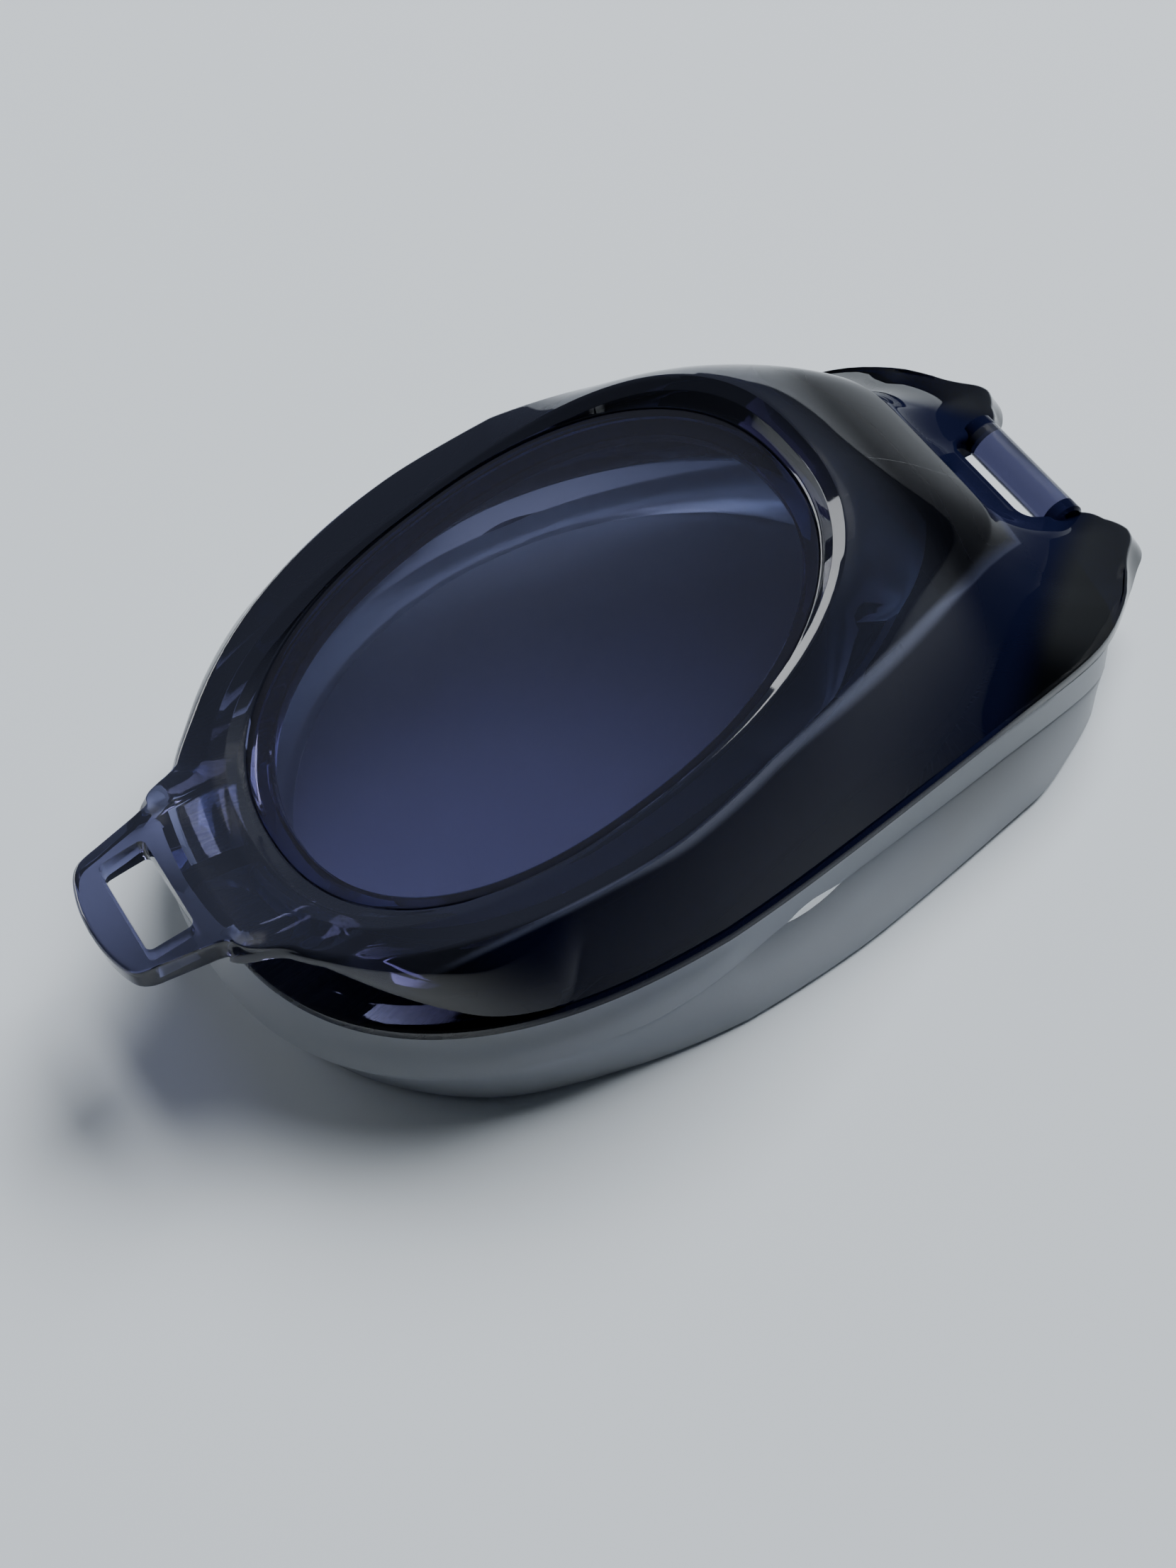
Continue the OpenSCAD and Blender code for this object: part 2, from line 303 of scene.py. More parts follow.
def wall_height(plan):
    """Height of the side wall over any point of the plan."""
    h = np.degrees(np.arctan2(plan[:, 1], plan[:, 0] - BASE_SHIFT)) % 360
    for _ in range(6):
        start, _knee, foot = wall_ends(h)
        d, e = foot[:, :2] - start[:, :2], plan - start[:, :2]
        miss = (d[:, 0] * e[:, 1] - d[:, 1] * e[:, 0]) / np.linalg.norm(d, axis=1)
        h = (h + np.degrees(miss / np.hypot(plan[:, 0] - BASE_SHIFT, plan[:, 1]))) % 360
    start, knee, foot = wall_ends(h)
    d, e = foot[:, :2] - start[:, :2], plan - start[:, :2]
    share = (d * e).sum(1) / (d * d).sum(1)
    m = knee_at(h)[0]
    t = (-m + np.sqrt(m ** 2 + (1 - 2 * m) * share.clip(0))) / (1 - 2 * m)
    return bend(start, knee, foot, t)[:, 2]


# ------------------------------------------------------------- frame sections

FACE_RINGS, CREASE_RINGS, WALL_RINGS = 12, 10, 22
TAB_FACE_RINGS = 6              # of the crease's rings, those on the tab's top face
SKIRT_END, UNDER_END, ROOT_END = 9, 15, 18  # where each stretch of the nose wall's rings ends
CREASE_ROUND = 0.3

tab_half = smooth_path([(33.6, 0), (33.5, 1.6), (33.2, 3.1), (32.75, 4.3), (32.1, 4.95),
                        (31.0, 5.2), (29.5, 5.5), (28.0, 5.8), (26.9, 6.1), (25.6, 6.9)], 4)
tab_turn = np.degrees(np.arctan2(tab_half[:, 1], tab_half[:, 0]))
TAB_R = np.interp(np.abs(180 - H), tab_turn, np.hypot(tab_half[:, 0], tab_half[:, 1]))
TAB = ease((14.2 - np.abs(180 - H)) / 1.6)         # 1 where the section is the nose tab


def tab_z(x):
    return TAB_TOP + (x + NECK_X) * TAB_TILT


crease = face(H, 1.0)
crest_flat = polar(oval(H, CREST), H)
crest = face(H, 0.0)
start, knee, foot = wall_ends(H)
rounding = CREASE_ROUND / np.linalg.norm(crease - crest, axis=1)
below = CREASE_ROUND / (2 * np.linalg.norm(knee - start, axis=1))
top_edge = raise_to(EDGE_TOP - NORMAL * LEDGE, 0)
side_foot_z = mix(foot[:, 2], wall_height(top_edge[:, :2]), EAR)
side_foot = raise_to(top_edge[:, :2], side_foot_z)

# The tab's outline in place of the crease, at the headings that it takes up
tab_edge = polar(TAB_R, H)
tab_edge_z = tab_z(tab_edge[:, 0])


def crease_ring(j):
    """Round the crease or, at the tab, out along its top face and over its edge."""
    s = (j + 1) / (CREASE_RINGS + 1)
    a = face(H, 1 - rounding)
    c = bend(start, knee, foot, below)
    plain = bend(a, crease, c, s)
    inset = polar(TAB_R - TAB_ROUND, H)
    if j < TAB_FACE_RINGS:
        plan = mix(a[:, :2], inset, (j + 1) / TAB_FACE_RINGS)
        blend = ease((j + 1) / 2)
        tab = raise_to(plan, mix(a[:, 2], tab_z(plan[:, 0]), blend))
    else:
        turn = (j + 1 - TAB_FACE_RINGS) / (CREASE_RINGS - TAB_FACE_RINGS) * 90
        plan = polar(TAB_R - TAB_ROUND * (1 - sind(turn)), H)
        tab = raise_to(plan, tab_z(plan[:, 0]) - TAB_ROUND * (1 - cosd(turn)))
    return mix(plain, tab, TAB)


def side_wall(k):
    t = below + (1 - below) * (k + 1) / WALL_RINGS
    direct = bend(start, knee, foot, t)
    share = np.linalg.norm(direct[:, :2] - start[:, :2], axis=1) / np.linalg.norm(
        foot[:, :2] - start[:, :2], axis=1)
    plan = mix(start[:, :2], side_foot[:, :2], share)
    near = OFF < 20
    z = direct[:, 2].copy()
    z[near] = wall_height(plan[near])
    return raise_to(plan, z)


def nose_wall(k):
    """Down the skirt, in under the wing, down the cup's wall, out over the flange."""
    part = np.clip((OFF - SKIRT_FROM) / SKIRT_TURN, 0, 1)
    z = np.minimum(mix(FOOT_Z + 0.15, -WING_DROP, part), crease[:, 2] - WING_THICK)
    into = ease(3 * part)
    flare = ((crease[:, 2] - z) * SKIRT_LEAN)[:, None] * polar(np.ones_like(H), H)
    skirt = raise_to(mix(side_foot[:, :2], crease[:, :2] + flare, into), z)
    tab_low = raise_to(polar(TAB_R - 0.1, H), tab_edge_z - TAB_THICK + 0.3)
    tab_high = raise_to(tab_edge, tab_edge_z - TAB_ROUND)
    first = mix(bend(start, knee, foot, below), tab_high, TAB)
    last = mix(skirt, tab_low, TAB)
    root_top = raise_to(mix(side_foot[:, :2], mouth(H, 1.7), into), mix(z, FOOT_Z, 0.3))
    root_foot = raise_to(mix(side_foot[:, :2], mouth(H, 1.9), into), FOOT_Z)
    if k < SKIRT_END:
        s = (k + 1) / SKIRT_END
        swell = 4 * s * (1 - s) * 0.085 * (first[:, 2] - last[:, 2]) * (1 - TAB)
        return mix(first, last, s) + swell[:, None] * raise_to(polar(np.ones_like(H), H), 0.4)
    if k < UNDER_END:
        plain = mix(skirt, root_top, (0.04, 0.2, 0.4, 0.6, 0.8, 1.0)[k - SKIRT_END])
        stops = [raise_to(polar(TAB_R - TAB_ROUND, H), tab_edge_z - TAB_THICK),
                 raise_to(polar(mix(TAB_R, 27.0, 0.6), H), tab_z(-29.0) - TAB_THICK),
                 raise_to(polar(np.full_like(H, 26.6), H), tab_z(-26.6) - TAB_THICK),
                 raise_to(polar(np.full_like(H, 25.9), H), -WING_DROP - 0.1),
                 raise_to(mix(polar(np.full_like(H, 25.9), H), root_top[:, :2], 0.6), -WING_DROP - 0.3),
                 root_top]
        return mix(plain, stops[k - SKIRT_END], TAB)
    if k < ROOT_END:
        return mix(root_top, root_foot, (k + 1 - UNDER_END) / (ROOT_END - UNDER_END))
    return mix(root_foot, side_foot, (k + 1 - ROOT_END) / (WALL_RINGS - ROOT_END))


def wall_ring(k):
    return mix(side_wall(k), nose_wall(k), nose(H))


def lip_rings():
    """The flange's edge: a thin ledge along the sides, a full rounded end at the ears."""
    rings = []
    for out, ledge_drop, turn in ((0.23, 0.0, 20), (0.10, 0.03, 45), (0.03, 0.08, 70), (0, 0.16, 90)):
        plan = EDGE_TOP - NORMAL * out
        over = wall_height(plan) - LEDGE * (1 - cosd(turn))
        rings.append(raise_to(plan, mix(side_foot_z - ledge_drop, over, EAR)))
    low = base_z(EDGE[:, 0])
    rings.append(mix(rings[-1], raise_to(EDGE, low + 0.15), 0.5))
    rings.append(raise_to(EDGE, low + 0.15))
    rings.append(raise_to(EDGE - NORMAL * 0.12, low + 0.01))
    return rings


def inner_rings():
    """The flange's underside and the inside of the cup, up to the ledge under the lens."""
    low = base_z(EDGE[:, 0])
    pad = polar(np.minimum(band_r(H), np.hypot(EDGE[:, 0] - BASE_SHIFT, EDGE[:, 1]) - 0.3),
                H, BASE_SHIFT)
    opening = mouth(H)
    opening_low = raise_to(opening, base_z(opening[:, 0]))
    roof_r = oval(H, ROOF)
    share = np.clip((roof_r - oval(H, CREST)) / (face_r(H) - oval(H, CREST)), 0, 1)
    ceiling = lean(raise_to(polar(roof_r, H), -LENS_THICK - 1.4))
    under = face(H, share, 1.5 + 0.5 * temple(H))
    deeper = ease((ceiling[:, 2] - under[:, 2]) / 0.6 + 0.5) * (cosd(H) > 0)
    roof = mix(ceiling, under, deeper)
    sight = polar(oval(H, SIGHT), H)
    rings = [raise_to(mix(EDGE, pad, 0.5), low), raise_to(pad, base_z(pad[:, 0])),
             mix(raise_to(pad, base_z(pad[:, 0])), opening_low, 0.9)]
    rings += [bend(opening_low, mix(opening_low, roof, 0.6) + [0, 0, 0.6], roof, t)
              for t in (0.04, 0.16, 0.3, 0.45, 0.6, 0.75, 0.88, 0.97)]
    mid = lean(raise_to(mix(sight, polar(roof_r, H), 0.45), -LENS_THICK - 1.5))
    rings += [mix(roof, mid, 0.15), mid]
    rings += [lean(raise_to(polar(oval(H, SIGHT, 0.15), H), -LENS_THICK - 1.25)),
              lean(raise_to(sight, -LENS_THICK - 1.0)),
              lean(raise_to(sight, -LENS_THICK - 0.15)),
              lean(raise_to(polar(oval(H, SIGHT, 0.12), H), -LENS_THICK - 0.03))]
    return rings


def frame_rings():
    seam = oval(H, LENS, SEAT_GAP)
    bevel = lean(raise_to(polar(seam + 0.15, H), 0.0))
    rise = crest_z(crest_flat[:, 1])
    bezel = BEZEL_WIDE * (0.1 + 0.9 * ease(1.6 * rise / CREST_RISE))
    land = lean(raise_to(polar(oval(H, CREST) - bezel, H), rise - BEZEL_SLOPE * bezel))
    rings = [lean(raise_to(polar(seam, H), -LENS_THICK - 0.02)),
             lean(raise_to(polar(seam, H), -0.7)),
             lean(raise_to(polar(seam, H), -0.16)),
             lean(raise_to(polar(seam + 0.05, H), -0.04)), bevel]
    rings += [mix(bevel, land, t) for t in (0.3, 0.6, 0.85, 0.96, 1.0)]
    rings += [mix(land, crest, t) for t in (0.04, 0.35, 0.65, 0.92)]
    rings += [face(H, 0.012 + (1 - rounding - 0.012) * j / FACE_RINGS) for j in range(FACE_RINGS)]
    rings += [crease_ring(j) for j in range(CREASE_RINGS)]
    rings += [wall_ring(k) for k in range(WALL_RINGS)]
    return rings + lip_rings() + inner_rings()


# ---------------------------------------------------------------- mesh making

def to_frame(points):
    return (np.asarray(points) + (-REST_SHIFT, 0, LENS_HEIGHT)) * MM


def mesh_object(name, verts, faces):
    mesh = bpy.data.meshes.new(name)
    mesh.from_pydata([tuple(v) for v in to_frame(verts)], [], faces)
    obj = bpy.data.objects.new(name, mesh)
    bpy.context.scene.collection.objects.link(obj)
    tidy_normals(obj)
    return obj


SMOOTH_UNDER = 32               # edges bent by more than this many degrees stay sharp


def tidy_normals(obj):
    bm = bmesh.new()
    bm.from_mesh(obj.data)
    bmesh.ops.remove_doubles(bm, verts=bm.verts, dist=1e-7)
    bmesh.ops.recalc_face_normals(bm, faces=bm.faces)
    for f in bm.faces:
        f.smooth = True
    for e in bm.edges:
        e.smooth = not (len(e.link_faces) == 2
                        and e.calc_face_angle(0.0) > math.radians(SMOOTH_UNDER))
    bm.to_mesh(obj.data)
    bm.free()


def loft(name, rings):
    """One closed ring-shaped skin through a list of closed rings."""
    count, size = len(rings), len(rings[0])
    faces = []
    for r in range(count):
        a, b = r * size, (r + 1) % count * size
        for i in range(size):
            j = (i + 1) % size
            faces.append((a + i, a + j, b + j, b + i))
    return mesh_object(name, np.vstack(rings), faces)


def capped(name, rings):
    """A solid through a list of closed rings, closed flat at both ends."""
    size = len(rings[0])
    faces = [tuple(range(size))[::-1],
             tuple(range((len(rings) - 1) * size, len(rings) * size))]
    for r in range(len(rings) - 1):
        for i in range(size):
            j = (i + 1) % size
            faces.append((r * size + i, r * size + j, (r + 1) * size + j, (r + 1) * size + i))
    return mesh_object(name, np.vstack(rings), faces)


def combine(target, other, operation):
    modifier = target.modifiers.new(operation.lower(), "BOOLEAN")
    modifier.operation = operation
    modifier.solver = "MANIFOLD"
    modifier.object = other
    bpy.context.view_layer.update()
    made = bpy.data.meshes.new_from_object(
        target.evaluated_get(bpy.context.evaluated_depsgraph_get()))
    target.modifiers.clear()
    target.data = made
    bpy.data.objects.remove(other)
    tidy_normals(target)


def rounded_rect(half_x, half_y, radius, centre, z, steps=7):
    points = []
    for sx, sy, first in ((1, 1, 0), (-1, 1, 90), (-1, -1, 180), (1, -1, 270)):
        for a in first + np.linspace(0, 90, steps):
            points.append((centre[0] + sx * (half_x - radius) + radius * cosd(a),
                           centre[1] + sy * (half_y - radius) + radius * sind(a), z))
    return np.array(points)


def build_frame():
    shell = loft("frame_moulding", frame_rings())
    turns = np.linspace(0, 360, 64, endpoint=False)
    reach = 5.6
    bar = capped("bar", [np.column_stack([
        BAR_X + r * cosd(turns), np.full(64, y), -BAR_DROP + r * sind(turns)])
        for y, r in ((-reach, 1.2), (-reach + 0.2, BAR_R), (reach - 0.2, BAR_R), (reach, 1.2))])
    combine(shell, bar, "UNION")
    profile = [(-27.0, -5.0), (-20.6, -5.6), (-20.6, -9.6), (-22.0, -9.6), (-23.6, -7.6), (-26.6, -5.9)]
    web = [np.array([(x, y, z) for x, z in profile]) for y in (-0.8, 0.8)]
    combine(shell, capped("web", web), "UNION")
    slot = [rounded_rect(hx, hy, 0.5, (-29.35, 0), z) for hx, hy, z in (
        (2.05, 4.2, -2.0), (1.65, 3.8, -4.5), (1.65, 3.8, -5.2), (2.0, 4.1, -9.0))]
    combine(shell, capped("slot", slot), "DIFFERENCE")
    return shell


def build_lens():
    turns = np.linspace(0, 360, 320, endpoint=False)
    outline = [(-LENS_THICK, -0.5), (-LENS_THICK, -0.15), (-LENS_THICK + 0.12, 0), (-0.18, 0),
               (-0.06, -0.05), (0.0, -0.18), (0.0, -0.5)]
    rings = [lean(raise_to(polar(oval(turns, LENS, grow), turns), z)) for z, grow in outline]
    return capped("lens_window", rings)


def gasket_rings():
    turns = np.linspace(0, 360, 360, endpoint=False)
    c = cosd(turns)
    flare = mix(1.3, 0.0, ease((c + 0.35) / 0.7))
    lip = mix(mix(-1.2, 0.35, ease((c + 1) / 0.4)) + 2.65 * ease((c + 0.7) / 1.2),
              -1.6, ease((c - 0.8) / 0.18))
    r = band_r(turns)
    top = polar(r, turns, BASE_SHIFT)
    low = polar(r + flare, turns, BASE_SHIFT)
    brim = polar(r + flare * 0.5 + lip, turns, BASE_SHIFT)
    opening = mouth(turns)
    rim = polar(oval(turns, LIP_INNER), turns, MOUTH_SHIFT)
    z_top = base_z(top[:, 0])
    z_low = z_top - BAND_HEIGHT
    floor = -LENS_HEIGHT
    down = lambda t: mix(z_low, floor, t)
    rings = [raise_to(mix(top, opening, 0.012), z_top), raise_to(top, z_top - 0.12)]
    rings += [raise_to(mix(top, low, ease(t) * 0.96), mix(z_top, z_low, t))
              for t in (0.2, 0.4, 0.6, 0.8, 0.94)]
    rings += [raise_to(low, z_low), raise_to(mix(low, opening, 0.02), z_low - 0.16)]
    rings += [raise_to(mix(low, brim, s), down(t)) for s, t in (
        (0.1, 0.1), (0.26, 0.2), (0.45, 0.32), (0.62, 0.44), (0.77, 0.57), (0.89, 0.7), (0.96, 0.82))]
    rings += [raise_to(brim, floor + 0.45), raise_to(mix(brim, rim, 0.02), floor + 0.18),
              raise_to(mix(brim, rim, 0.07), floor + 0.03), raise_to(mix(brim, rim, 0.14), floor)]
    rings += [raise_to(mix(brim, rim, s), floor + lift) for s, lift in (
        (0.28, 0.35), (0.42, 0.5), (0.6, 0.4), (0.78, 0.05), (0.9, 0.06), (0.97, 0.18), (1.0, 0.4))]
    inner_z = lambda t: mix(floor, z_top, t)
    rings += [raise_to(mix(rim, opening, s), inner_z(t)) for s, t in (
        (0.1, 0.15), (0.22, 0.27), (0.35, 0.4), (0.55, 0.6), (0.75, 0.8))]
    opening_z = base_z(opening[:, 0])
    rings += [raise_to(mix(rim, opening, 0.98), mix(inner_z(0.8), opening_z, 0.93)),
              raise_to(mix(opening, top, 0.03), opening_z)]
    return rings


# ------------------------------------------------------------------ materials

def material(name):
    m = bpy.data.materials.new(name)
    m.use_nodes = True
    m.node_tree.nodes.clear()
    return m, m.node_tree.nodes, m.node_tree.links


def add(nodes, kind, **values):
    node = nodes.new(kind)
    for key, value in values.items():
        if key in node.inputs:
            node.inputs[key].default_value = value
        else:
            setattr(node, key, value)
    return node


def sums(nodes, links, operation, a, b=None, c=None):
    """One arithmetic node; each input is a number or another node's output."""
    node = nodes.new("ShaderNodeMath")
    node.operation = operation
    for socket, value in zip(node.inputs, (a, b, c)):
        if isinstance(value, (int, float)):
            socket.default_value = value
        elif value is not None:
            links.new(value, socket)
    return node.outputs["Value"]


PLASTIC_IOR = 1.585
SILICONE_IOR = 1.41
SILICONE_DARK, SILICONE_LIGHT = (0.62, 0.66, 0.71, 1), (0.72, 0.75, 0.79, 1)
SILICONE_TINT, SILICONE_DENSITY = (0.50, 0.56, 0.64, 1), 320.0

# Smoke plastic: surface colour, colour and density in depth, least roughness, milky share
FRAME_SMOKE = ((0.55, 0.61, 0.95, 1), (0.29, 0.26, 0.35, 1), 1020.0, 0.018, 0.026)
LENS_SMOKE = ((0.70, 0.73, 1.0, 1), (0.38, 0.33, 0.48, 1), 430.0, 0.006, 0.020)
# Painted shade: a near-black colour for the side wall and temple end, in place of the dark room that the
# real glossy plastic mirrors there
PAINTED_DARK_REFLECTION = (0.006, 0.008, 0.030, 1)
PAINTED_SHADE_MILK, PAINTED_SHADE_LEVEL = 0.55, 0.4   # what a place of painted shade loses in clearness and in shine, in place of the dark room it mirrors

# The frame's masks of painted shade and taken-away shine: where each starts and is full, in mm from the
# lens centre toward the temple
SIDE_FROM = (-26.0, -17.0)
PAINTED_SHADE_FROM = (-19.0, -11.0)
FACE_FROM = (2.0, 12.0)
END_FROM = (21.0, 27.0)
CALM_FROM = (22.5, 27.0)
EAR_TIP_FROM = (32.6, 36.2)     # on the slanting line of the ears' sides
FACE_EDGE = (0.99, 1.03)        # times the front face's outline
CREST_EDGE = (1.0, 1.12)        # times the crest's outline, as a superoval's measure
END_DARK = 0.93                 # how far the temple end goes to the painted dark colour, standing in for the dark room it mirrors
FACE_FLAT = 0.97                # how much of the front face's shine is taken away, in place of the dark room it mirrors
CALM_DROP = 0.5                 # what the refractive index loses at the temple end, which takes away its reflection in place of the dark room
BAR_MARGIN = 0.1


def superoval(part, x, y, size):
    """Below 1 inside an oval, 1 on its edge and above 1 outside it."""
    along = part("POWER", part("DIVIDE", part("ABSOLUTE", x), size[1]), size[3])
    across = part("POWER", part("DIVIDE", part("ABSOLUTE", y), size[2]), size[3])
    return part("ADD", along, across)


def frame_masks(nodes, links, position):
    """Where the frame gets painted shade, is less clear, less shiny and not shiny at all; 0 to 1 each.

    They are painted shade and taken-away reflection, standing in for the dark room that the real frame's
    side wall and temple end mirror.
    The strap bar is left out of them all, and the ear tips only go dark.
    """
    def part(name, a, b=None, c=None):
        return sums(nodes, links, name, a, b, c)

    def between(value, limits):
        return step_between(nodes, links, value, *limits)

    # The frame's own place, and the place in the lens's axes with the lens centre at 0
    plain = add(nodes, "ShaderNodeSeparateXYZ")
    links.new(position, plain.inputs["Vector"])
    turned = add(nodes, "ShaderNodeVectorRotate", rotation_type="Y_AXIS")
    turned.inputs["Center"].default_value = (-REST_SHIFT * MM, 0, LENS_HEIGHT * MM)
    turned.inputs["Angle"].default_value = math.radians(LENS_LEAN)
    links.new(position, turned.inputs["Vector"])
    split = add(nodes, "ShaderNodeSeparateXYZ")
    links.new(turned.outputs["Vector"], split.inputs["Vector"])
    x = part("MULTIPLY_ADD", split.outputs["X"], 1 / MM, REST_SHIFT)
    y = part("MULTIPLY", split.outputs["Y"], 1 / MM)

    bar_from = (BAR_X - BAR_R - BAR_MARGIN - REST_SHIFT) * MM
    off_bar = part("MAXIMUM", part("LESS_THAN", plain.outputs["X"], bar_from),
                   part("GREATER_THAN", part("ABSOLUTE", plain.outputs["Y"]), BAR_HALF * MM))
    ear_side = part("ADD", part("MULTIPLY", plain.outputs["X"], EAR_SIDE[0] / MM),
                    part("MULTIPLY", part("ABSOLUTE", plain.outputs["Y"]), 1 / MM))
    off_ear = part("SUBTRACT", 1.0, between(ear_side, EAR_TIP_FROM))

    beyond = part("MAXIMUM", superoval(part, x, y, FACE_TEMPLE), part("DIVIDE", x, FACE_CUT))
    side = between(beyond, FACE_EDGE)
    end = part("MULTIPLY", between(x, END_FROM), END_DARK)
    # Painted shade: the side wall and temple end go dark, in place of the dark room they mirror
    dark = part("MULTIPLY", off_bar,
                part("MULTIPLY", part("MAXIMUM", side, end), between(x, SIDE_FROM)))
    # Painted shade: less clear and less shiny on the side wall, where the real glossy plastic mirrors a
    # dark room
    painted_shade_mask = part("MULTIPLY", off_bar,
                part("MULTIPLY", part("MULTIPLY", side, off_ear), between(x, PAINTED_SHADE_FROM)))
    # The front face and temple end lose shine: reflections taken away in place of the dark room they
    # mirror
    outside = part("MULTIPLY", between(superoval(part, x, y, CREST), CREST_EDGE),
                   part("MULTIPLY", off_bar, off_ear))
    face = part("MULTIPLY", part("MULTIPLY", outside, FACE_FLAT), between(x, FACE_FROM))
    calm = part("MULTIPLY", outside, between(x, CALM_FROM))
    return dark, painted_shade_mask, part("MAXIMUM", painted_shade_mask, face), calm


def step_between(nodes, links, value, low, high):
    """0 below low, 1 above high and smooth between."""
    node = add(nodes, "ShaderNodeMapRange", interpolation_type="SMOOTHSTEP")
    node.inputs["From Min"].default_value = low
    node.inputs["From Max"].default_value = high
    links.new(value, node.inputs["Value"])
    return node.outputs["Result"]


def smoke(name, clear_colour, tint_colour, density, haze, milk, side=None):
    """Glossy smoke-blue polycarbonate: clear but for a little milkiness, darker where thick."""
    m, nodes, links = material(name)
    out = add(nodes, "ShaderNodeOutputMaterial")
    place = add(nodes, "ShaderNodeTexCoord")
    shader = add(nodes, "ShaderNodeBsdfPrincipled")
    shader.inputs["Base Color"].default_value = clear_colour
    # With side given: painted shade, a near-black colour with less clearness and less shine on the side
    # wall and temple end, in place of the dark room the glossy plastic mirrors there
    if side:
        tone = add(nodes, "ShaderNodeMix", data_type="RGBA")
        clear, dark = [s for s in tone.inputs if s.type == "RGBA"]
        clear.default_value = clear_colour
        dark.default_value = side
        mask, painted_shade_mask, shine_removed_mask, calm = frame_masks(nodes, links, place.outputs["Object"])
        # Lower refractive index at the temple end: reflection taken away in place of the dark room it
        # mirrors
        links.new(sums(nodes, links, "MULTIPLY_ADD", calm, -CALM_DROP, PLASTIC_IOR),
                  shader.inputs["IOR"])
        links.new(mask, tone.inputs[0])
        sheen = sums(nodes, links, "SUBTRACT", 1.0, shine_removed_mask)
        links.new(sheen, shader.inputs["Specular Tint"])
        links.new(sums(nodes, links, "MULTIPLY_ADD", painted_shade_mask, -PAINTED_SHADE_MILK, 1.0 - milk),
                  shader.inputs["Transmission Weight"])
        links.new(sums(nodes, links, "MULTIPLY_ADD", painted_shade_mask, -PAINTED_SHADE_LEVEL, 0.5),
                  shader.inputs["Specular IOR Level"])
        links.new([s for s in tone.outputs if s.type == "RGBA"][0], shader.inputs["Base Color"])
    shader.inputs["Transmission Weight"].default_value = 1.0 - milk
    shader.inputs["IOR"].default_value = PLASTIC_IOR

    # Handling marks: faint smears, and fine scratches that run two ways
    smear = add(nodes, "ShaderNodeTexNoise", Scale=140.0, Detail=5.0, Roughness=0.6)
    links.new(place.outputs["Object"], smear.inputs["Vector"])
    stretch = add(nodes, "ShaderNodeMapping")
    stretch.inputs["Rotation"].default_value = (0.3, 0.2, 0.9)
    stretch.inputs["Scale"].default_value = (90, 2600, 400)
    links.new(place.outputs["Object"], stretch.inputs["Vector"])
    scratch = add(nodes, "ShaderNodeTexNoise", Scale=1.0, Detail=2.0, Roughness=0.5)
    links.new(stretch.outputs["Vector"], scratch.inputs["Vector"])
    thin = add(nodes, "ShaderNodeMapRange")
    thin.inputs["From Min"].default_value = 0.70
    thin.inputs["From Max"].default_value = 0.78
    links.new(scratch.outputs["Fac"], thin.inputs["Value"])
    rough = add(nodes, "ShaderNodeMapRange")
    rough.inputs["From Min"].default_value = 0.35
    rough.inputs["From Max"].default_value = 0.8
    rough.inputs["To Min"].default_value = haze
    rough.inputs["To Max"].default_value = haze + 0.05
    links.new(smear.outputs["Fac"], rough.inputs["Value"])
    total = add(nodes, "ShaderNodeMath", operation="MULTIPLY_ADD")
    total.inputs[1].default_value = 0.06
    links.new(thin.outputs["Result"], total.inputs[0])
    links.new(rough.outputs["Result"], total.inputs[2])
    links.new(total.outputs["Value"], shader.inputs["Roughness"])
    bump = add(nodes, "ShaderNodeBump", Strength=0.06, Distance=0.00004)
    links.new(smear.outputs["Fac"], bump.inputs["Height"])
    links.new(bump.outputs["Normal"], shader.inputs["Normal"])
    links.new(shader.outputs["BSDF"], out.inputs["Surface"])

    tint = add(nodes, "ShaderNodeVolumeAbsorption")
    tint.inputs["Color"].default_value = tint_colour
    tint.inputs["Density"].default_value = density
    links.new(tint.outputs["Volume"], out.inputs["Volume"])
    return m


def silicone(name):
    """Milky translucent silicone with a faint moulding texture."""
    m, nodes, links = material(name)
    out = add(nodes, "ShaderNodeOutputMaterial")
    place = add(nodes, "ShaderNodeTexCoord")
    shader = add(nodes, "ShaderNodeBsdfPrincipled")
    cloud = add(nodes, "ShaderNodeTexNoise", Scale=90.0, Detail=3.0, Roughness=0.5)
    links.new(place.outputs["Object"], cloud.inputs["Vector"])
    ramp = add(nodes, "ShaderNodeMix", data_type="RGBA")
    colour_in = [s for s in ramp.inputs if s.type == "RGBA"]
    colour_in[0].default_value = SILICONE_DARK
    colour_in[1].default_value = SILICONE_LIGHT
    colour_out = [s for s in ramp.outputs if s.type == "RGBA"][0]
    links.new(cloud.outputs["Fac"], ramp.inputs[0])
    links.new(colour_out, shader.inputs["Base Color"])
    shader.inputs["Transmission Weight"].default_value = 0.6
    shader.inputs["Roughness"].default_value = 0.34
    shader.inputs["IOR"].default_value = SILICONE_IOR
    grain = add(nodes, "ShaderNodeTexNoise", Scale=2600.0, Detail=2.0)
    links.new(place.outputs["Object"], grain.inputs["Vector"])
    bump = add(nodes, "ShaderNodeBump", Strength=0.25, Distance=0.00003)
    links.new(grain.outputs["Fac"], bump.inputs["Height"])
    links.new(bump.outputs["Normal"], shader.inputs["Normal"])
    links.new(shader.outputs["BSDF"], out.inputs["Surface"])
    tint = add(nodes, "ShaderNodeVolumeAbsorption")
    tint.inputs["Color"].default_value = SILICONE_TINT
    tint.inputs["Density"].default_value = SILICONE_DENSITY
    links.new(tint.outputs["Volume"], out.inputs["Volume"])
    return m


# --------------------------------------------------------------------- pieces

def place(obj, node, slot, mat):
    obj.data.materials.clear()
    obj.data.materials.append(mat)
    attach(obj, "root")
    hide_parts(node)


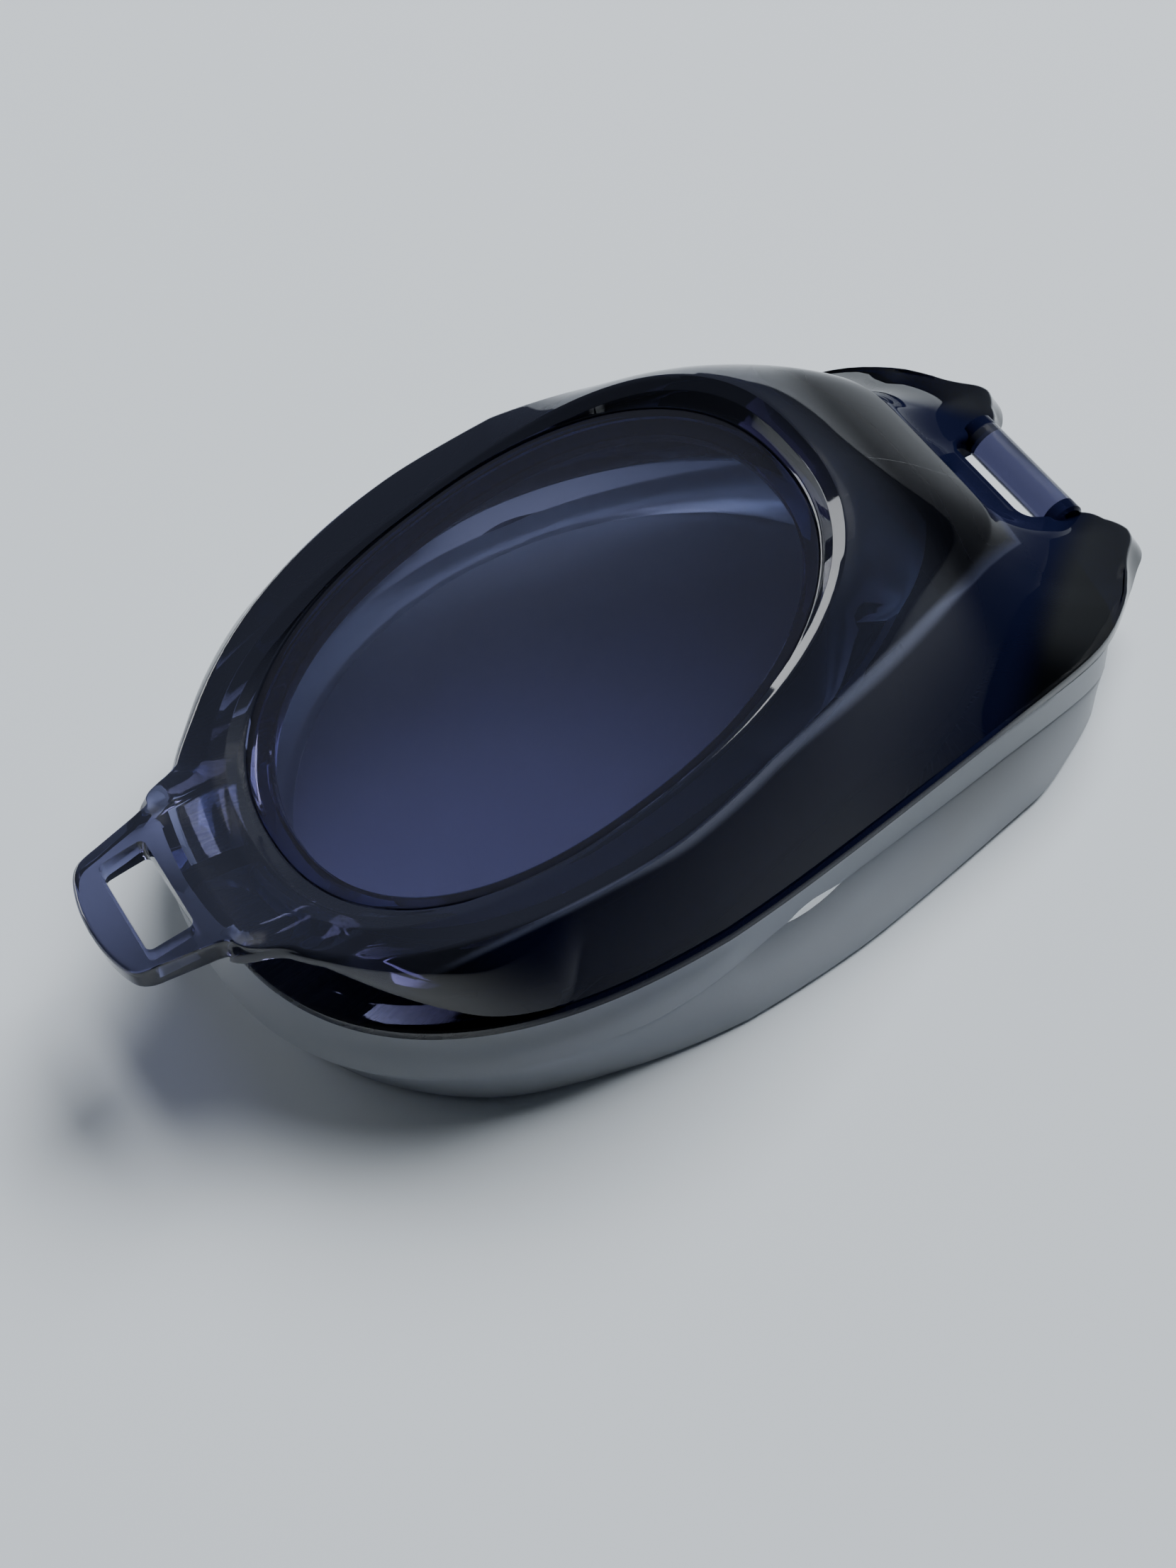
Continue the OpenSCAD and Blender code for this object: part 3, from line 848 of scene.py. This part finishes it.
place(build_frame(), "frame", "smoke_polycarbonate",
      smoke("smoke_frame", *FRAME_SMOKE, side=PAINTED_DARK_REFLECTION))
place(build_lens(), "lens", "smoke_lens", smoke("smoke_window", *LENS_SMOKE))
place(loft("face_gasket", gasket_rings()), "gasket", "clear_silicone", silicone("clear_silicone"))


# ---------------------------------------------------------------------- stage

def build_stage():
    bpy.ops.mesh.primitive_plane_add(size=6.0, location=(0, 0, -0.00005))
    floor = bpy.context.object
    floor.name = "floor"
    m, nodes, links = material("pale_floor")
    out = add(nodes, "ShaderNodeOutputMaterial")
    shader = add(nodes, "ShaderNodeBsdfPrincipled", Roughness=0.6)
    shader.inputs["Base Color"].default_value = (0.66, 0.70, 0.74, 1)
    links.new(shader.outputs["BSDF"], out.inputs["Surface"])
    floor.data.materials.append(m)


def window_light(name, position, target, along, size, power, colour, mirrored=True):
    """A soft rectangular light that faces the target, its long side turned along a line."""
    data = bpy.data.lights.new(name, "AREA")
    data.shape = "RECTANGLE"
    data.size, data.size_y = size
    data.energy = power
    data.color = colour
    obj = bpy.data.objects.new(name, data)
    out = (Vector(position) - Vector(target)).normalized()
    side = (Vector(along) - out * out.dot(Vector(along))).normalized()
    turn = Matrix((side, out.cross(side), out)).transposed().to_4x4()
    obj.matrix_world = Matrix.Translation(Vector(position)) @ turn
    obj.visible_glossy = mirrored
    bpy.context.scene.collection.objects.link(obj)


GLOW_TOWARD = (0.93, 0.08, 0.36)
GLOW_STRENGTH, ROOM_STRENGTH = 0.35, 0.035


def build_lights():
    """A soft key overhead, a low window behind that the bezel mirrors, and a dark room."""
    world = bpy.data.worlds.new("studio")
    bpy.context.scene.world = world
    world.use_nodes = True
    nodes, links = world.node_tree.nodes, world.node_tree.links
    nodes["Background"].inputs["Color"].default_value = (0.8, 0.9, 1.0, 1)
    # A dark room that brightens low down on the temple side
    look = add(nodes, "ShaderNodeTexCoord")
    toward = add(nodes, "ShaderNodeVectorMath", operation="DOT_PRODUCT")
    toward.inputs[1].default_value = GLOW_TOWARD
    links.new(look.outputs["Generated"], toward.inputs[0])
    glow = step_between(nodes, links, toward.outputs["Value"], 0.70, 1.0)
    links.new(sums(nodes, links, "MULTIPLY_ADD", glow, GLOW_STRENGTH, ROOM_STRENGTH),
              nodes["Background"].inputs["Strength"])
    middle = (0, 0, 0.01)
    window_light("key", (0.70, 0.28, 0.93), middle, (0, 1, 0), (0.8, 0.6), 27.0,
                 (0.96, 0.98, 1.0), mirrored=False)
    window_light("window", (-0.58, 1.03, 0.30), middle, (0.87, 0.49, 0), (1.0, 0.34), 6.0,
                 (0.93, 0.96, 1.0))


def build_camera():
    """The photograph's viewing angle: over the nose end, looking down at the lens."""
    right = Vector((0.84776, -0.52536, -0.07279))
    up = Vector((0.47271, 0.68619, 0.55290))
    back = Vector((-0.24052, -0.50313, 0.83007))
    data = bpy.data.cameras.new("camera")
    data.sensor_width = 36.0
    data.lens = 55.33
    data.clip_start, data.clip_end = 0.01, 20.0
    camera = bpy.data.objects.new("camera", data)
    turn = Matrix((right, up, back)).transposed().to_4x4()
    position = Vector((-0.03916 - REST_SHIFT * MM, -0.08859, 0.12740 + LENS_HEIGHT * MM))
    camera.matrix_world = Matrix.Translation(position) @ turn
    bpy.context.scene.collection.objects.link(camera)
    bpy.context.scene.camera = camera


build_stage()
build_lights()
build_camera()
